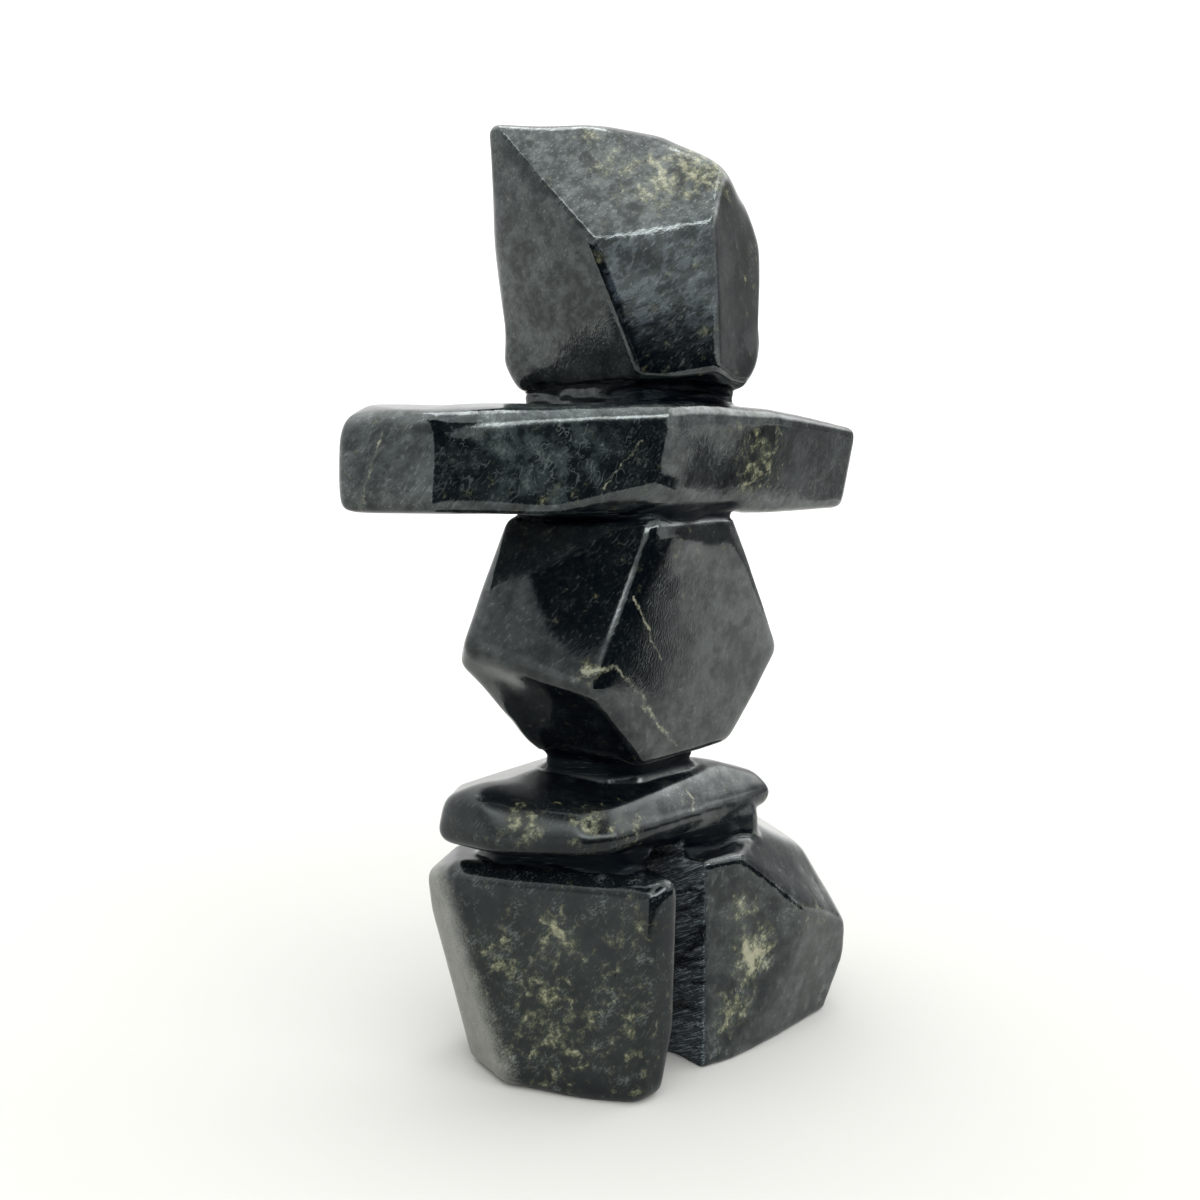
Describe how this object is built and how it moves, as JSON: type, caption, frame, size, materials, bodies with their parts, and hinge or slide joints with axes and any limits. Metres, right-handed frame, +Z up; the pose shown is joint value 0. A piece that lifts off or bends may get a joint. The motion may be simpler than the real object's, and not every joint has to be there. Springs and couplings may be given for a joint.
{
  "type": "carved stone inukshuk figure",
  "caption": "Standing stone figure of stacked faceted boulders: a head, wide flat arms, a torso and hips joined by narrow rasped necks, over two legs with a slot between.",
  "frame": {"origin": "on the floor, under the middle of the figure's bounding box", "axes": "+Z up, -Y to the front of the figure, +X along the arms to the figure's side that is on the right when seen from the front"},
  "size_m": [0.1752, 0.0784, 0.272],
  "materials": {
    "dark_green_stone": "polished facets with rasped matt grooves"
  },
  "bodies": {
    "root": {"carved_figure": "dark_green_stone"}
  },
  "joints": []
}
